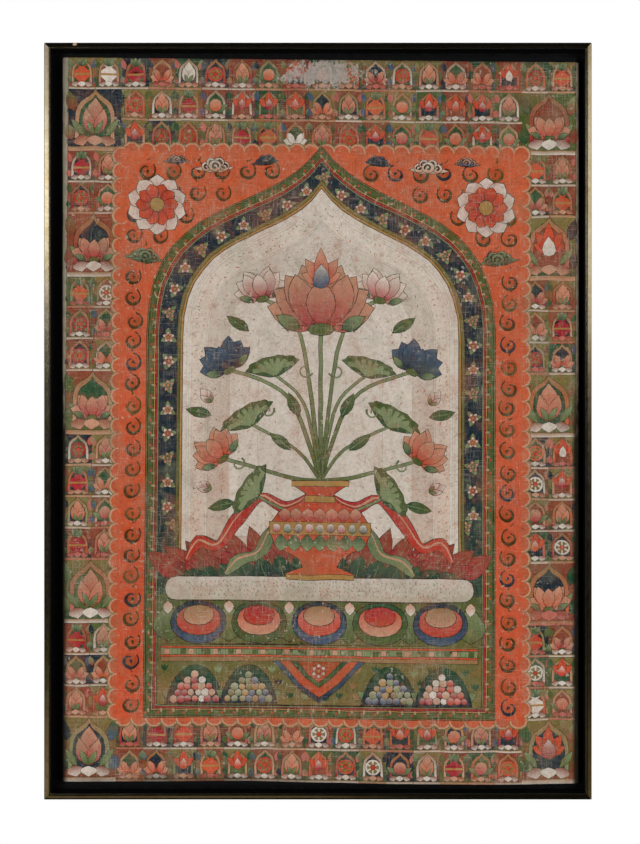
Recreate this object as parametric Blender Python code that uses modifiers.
"""A painted cloth stretched over a panel, in a tray frame of four mitred rails.

Metres, +Z up. The picture faces -Y and its back lies in the plane y = 0. The origin is the
middle of the top rail's back face, which is where the frame bears on a wall.
"""

import math

import bmesh
import bpy

# Driving dimensions, in metres.
FRAME_WIDTH = 0.5650
FRAME_HEIGHT = 0.7810
FRAME_DEPTH = 0.0350
LIP_WIDTH = 0.0068  # the wall that stands round the picture, seen from the front
LIP_CROWN = 0.0012  # how far the lip's rounded top rises above its edges
LEDGE_REACH = 0.0260  # how far the ledge runs in behind the panel
LEDGE_THICKNESS = 0.0100
PANEL_THICKNESS = 0.0180
PANEL_CORNER = 0.0047  # radius of the panel's two long front edges
CLOTH_THICKNESS = 0.0012
CLOTH_TURN = 0.0080  # how far the cloth runs back along the panel's sides
GAP = 0.0003  # between pieces that lie against each other

# The recess between the lip and the cloth, which is wider on the left than on the right.
RECESS_LEFT = 0.0112
RECESS_RIGHT = 0.0053
RECESS_TOP = 0.0077
RECESS_BOTTOM = 0.0076

# How far the cloth's cut edge falls short of the panel's, at each place from the left: a share
# of the cloth's width, and millimetres at its top and bottom edge.
CLOTH_EDGES = (
    # across, top, bottom
    (0.00, 0.0, 3.4),
    (0.14, 0.7, 3.7),
    (0.36, 1.9, 4.3),
    (0.50, 2.7, 2.6),
    (0.66, 3.5, 0.9),
    (0.84, 4.4, 0.3),
    (1.00, 5.3, 1.6),
)

ARC_STEPS = 6
CROWN_STEPS = 8
CLOTH_COLUMNS = 30
CLOTH_ROWS = 4
MM = 0.001

# Derived places.
RAIL_REACH = LIP_WIDTH + LEDGE_REACH  # the whole width of a rail's back face
TOP = RAIL_REACH / 2
BOTTOM = TOP - FRAME_HEIGHT
MIDDLE = (TOP + BOTTOM) / 2
PANEL_BACK = -(LEDGE_THICKNESS + GAP)
PANEL_FRONT = PANEL_BACK - PANEL_THICKNESS
CLOTH_LEFT = -FRAME_WIDTH / 2 + LIP_WIDTH + RECESS_LEFT
CLOTH_RIGHT = FRAME_WIDTH / 2 - LIP_WIDTH - RECESS_RIGHT
PANEL_LEFT = CLOTH_LEFT + CLOTH_THICKNESS + GAP
PANEL_RIGHT = CLOTH_RIGHT - CLOTH_THICKNESS - GAP
PANEL_TOP = TOP - LIP_WIDTH - RECESS_TOP
PANEL_BOTTOM = BOTTOM + LIP_WIDTH + RECESS_BOTTOM


def clear_scene():
    for obj in list(bpy.data.objects):
        bpy.data.objects.remove(obj, do_unlink=True)


def make_material(name, colour, roughness, metallic=0.0):
    material = bpy.data.materials.new(name)
    material.use_nodes = True
    shader = material.node_tree.nodes["Principled BSDF"]
    shader.inputs["Base Color"].default_value = (*colour, 1)
    shader.inputs["Roughness"].default_value = roughness
    shader.inputs["Metallic"].default_value = metallic
    material.diffuse_color = (*colour, 1)
    return material


def arc(centre, radius, start, end, steps):
    """Points of a circle's arc in a plane, from one angle to another in degrees."""
    turns = [math.radians(start + (end - start) * i / steps) for i in range(steps + 1)]
    return [(centre[0] + radius * math.cos(t), centre[1] + radius * math.sin(t)) for t in turns]


def extruded_mesh(name, outline, length):
    """A closed outline in the XY plane, drawn out along Z to both sides of it."""
    curve = bpy.data.curves.new(name, "CURVE")
    curve.dimensions = "2D"
    curve.fill_mode = "BOTH"
    curve.extrude = length / 2
    spline = curve.splines.new("POLY")
    spline.points.add(len(outline) - 1)
    for point, (x, y) in zip(spline.points, outline):
        point.co = (x, y, 0, 1)
    spline.use_cyclic_u = True
    guide = bpy.data.objects.new(name + "_outline", curve)
    bpy.context.scene.collection.objects.link(guide)
    graph = bpy.context.evaluated_depsgraph_get()
    mesh = bpy.data.meshes.new_from_object(guide.evaluated_get(graph))
    bpy.data.objects.remove(guide, do_unlink=True)
    mesh.name = name
    shape = bmesh.new()
    shape.from_mesh(mesh)
    bmesh.ops.remove_doubles(shape, verts=shape.verts, dist=1e-6)
    bmesh.ops.recalc_face_normals(shape, faces=shape.faces)
    shape.to_mesh(mesh)
    shape.free()
    return mesh


def add_object(name, mesh, material, parts):
    obj = bpy.data.objects.new(name, mesh)
    mesh.materials.clear()
    mesh.materials.append(material)
    mesh.shade_smooth()
    mesh.set_sharp_from_angle(angle=math.radians(30))
    parts.objects.link(obj)
    return obj


def rail_section():
    """The rail's L section: x runs inwards from the outer face, y from the back to the front.

    The wall ends in a shallow crowned lip, and the ledge lies at the back.
    """
    half = LIP_WIDTH / 2
    radius = (half**2 + LIP_CROWN**2) / (2 * LIP_CROWN)
    spread = math.degrees(math.asin(half / radius))
    crown = arc((half, -FRAME_DEPTH + radius), radius, 270 - spread, 270 + spread, CROWN_STEPS)
    ledge = [
        (LIP_WIDTH, -LEDGE_THICKNESS),
        (RAIL_REACH, -LEDGE_THICKNESS),
        (RAIL_REACH, 0),
        (0, 0),
    ]
    return crown + ledge


def mitre(mesh, length):
    """Cuts both ends at 45 degrees, so that the rail is longest along its outer face (x = 0)."""
    shape = bmesh.new()
    shape.from_mesh(mesh)
    for end in (1, -1):
        cut = bmesh.ops.bisect_plane(
            shape,
            geom=shape.verts[:] + shape.edges[:] + shape.faces[:],
            plane_co=(0, 0, end * (length / 2 - GAP * math.sqrt(0.5))),
            plane_no=(1, 0, end),
            clear_outer=True,
        )
        rim = [item for item in cut["geom_cut"] if isinstance(item, bmesh.types.BMEdge)]
        bmesh.ops.edgeloop_fill(shape, edges=rim)
    bmesh.ops.recalc_face_normals(shape, faces=shape.faces)
    shape.to_mesh(mesh)
    shape.free()


def make_rail(name, length, place, turn, material, parts):
    """One rail along Z, turned in the plane of the picture to its side of the frame."""
    mesh = extruded_mesh(name, rail_section(), length)
    mitre(mesh, length)
    rail = add_object(name, mesh, material, parts)
    rail.location = place
    rail.rotation_euler = (0, math.radians(turn), 0)
    return rail


def make_frame(material, parts):
    half = FRAME_WIDTH / 2
    make_rail("rail_left", FRAME_HEIGHT, (-half, 0, MIDDLE), 0, material, parts)
    make_rail("rail_top", FRAME_WIDTH, (0, 0, TOP), 90, material, parts)
    make_rail("rail_right", FRAME_HEIGHT, (half, 0, MIDDLE), 180, material, parts)
    make_rail("rail_bottom", FRAME_WIDTH, (0, 0, BOTTOM), 270, material, parts)


def make_panel(material, parts):
    """The board under the cloth: square at the back, its two long front edges rounded."""
    bend = PANEL_FRONT + PANEL_CORNER
    outline = [(PANEL_LEFT, PANEL_BACK)]
    outline += arc((PANEL_LEFT + PANEL_CORNER, bend), PANEL_CORNER, 180, 270, ARC_STEPS)
    outline += arc((PANEL_RIGHT - PANEL_CORNER, bend), PANEL_CORNER, 270, 360, ARC_STEPS)
    outline += [(PANEL_RIGHT, PANEL_BACK)]
    mesh = extruded_mesh("mount_panel", outline, PANEL_TOP - PANEL_BOTTOM)
    panel = add_object("mount_panel", mesh, material, parts)
    panel.location = (0, 0, (PANEL_TOP + PANEL_BOTTOM) / 2)


def cloth_section():
    """The line of the cloth's outer face from its left edge, round the panel, to its right edge."""
    radius = PANEL_CORNER + GAP + CLOTH_THICKNESS
    front = PANEL_FRONT - GAP - CLOTH_THICKNESS
    bend = front + radius
    line = [(CLOTH_LEFT, bend + CLOTH_TURN)]
    line += arc((CLOTH_LEFT + radius, bend), radius, 180, 270, ARC_STEPS)
    flat = CLOTH_RIGHT - CLOTH_LEFT - 2 * radius
    for i in range(1, CLOTH_COLUMNS):
        line.append((CLOTH_LEFT + radius + flat * i / CLOTH_COLUMNS, front))
    line += arc((CLOTH_RIGHT - radius, bend), radius, 270, 360, ARC_STEPS)
    line.append((CLOTH_RIGHT, bend + CLOTH_TURN))
    return line


def edge_shortfall(x):
    """How far the cloth's top and bottom edge lie inside the panel's at this x, in metres."""
    share = min(max((x - CLOTH_LEFT) / (CLOTH_RIGHT - CLOTH_LEFT), 0), 1)
    for (a, top_a, bottom_a), (b, top_b, bottom_b) in zip(CLOTH_EDGES, CLOTH_EDGES[1:]):
        if share <= b:
            along = (share - a) / (b - a)
            ease = along * along * (3 - 2 * along)
            top = top_a + (top_b - top_a) * along
            bottom = bottom_a + (bottom_b - bottom_a) * ease
            return top * MM, bottom * MM
    raise ValueError("x lies outside the cloth")


def make_cloth(material, parts):
    """A sheet that lies on the panel's face and rolls over its two long edges."""
    line = cloth_section()
    bpy.ops.mesh.primitive_grid_add(x_subdivisions=len(line) - 1, y_subdivisions=CLOTH_ROWS, size=1)
    cloth = bpy.context.object
    cloth.name = cloth.data.name = "painted_cloth"
    for vertex in cloth.data.vertices:
        across = round((vertex.co.x + 0.5) * (len(line) - 1))
        x, y = line[across]
        top, bottom = edge_shortfall(x)
        low, high = PANEL_BOTTOM + bottom, PANEL_TOP - top
        vertex.co = (x, y, low + (high - low) * (vertex.co.y + 0.5))
    cloth.data.update()
    for collection in list(cloth.users_collection):
        collection.objects.unlink(cloth)
    parts.objects.link(cloth)
    cloth.data.materials.append(material)
    cloth.data.shade_smooth()
    thicken = cloth.modifiers.new("thickness", "SOLIDIFY")
    thicken.thickness = CLOTH_THICKNESS
    thicken.offset = -1
    thicken.use_even_offset = True


def main():
    clear_scene()
    parts = bpy.data.collections.new("framed_cloth_painting")
    bpy.context.scene.collection.children.link(parts)
    make_frame(make_material("black_painted_wood", (0.012, 0.012, 0.013), 0.45), parts)
    make_panel(make_material("black_board", (0.010, 0.010, 0.011), 0.80), parts)
    make_cloth(make_material("painted_cotton", (0.42, 0.17, 0.09), 0.85), parts)


main()
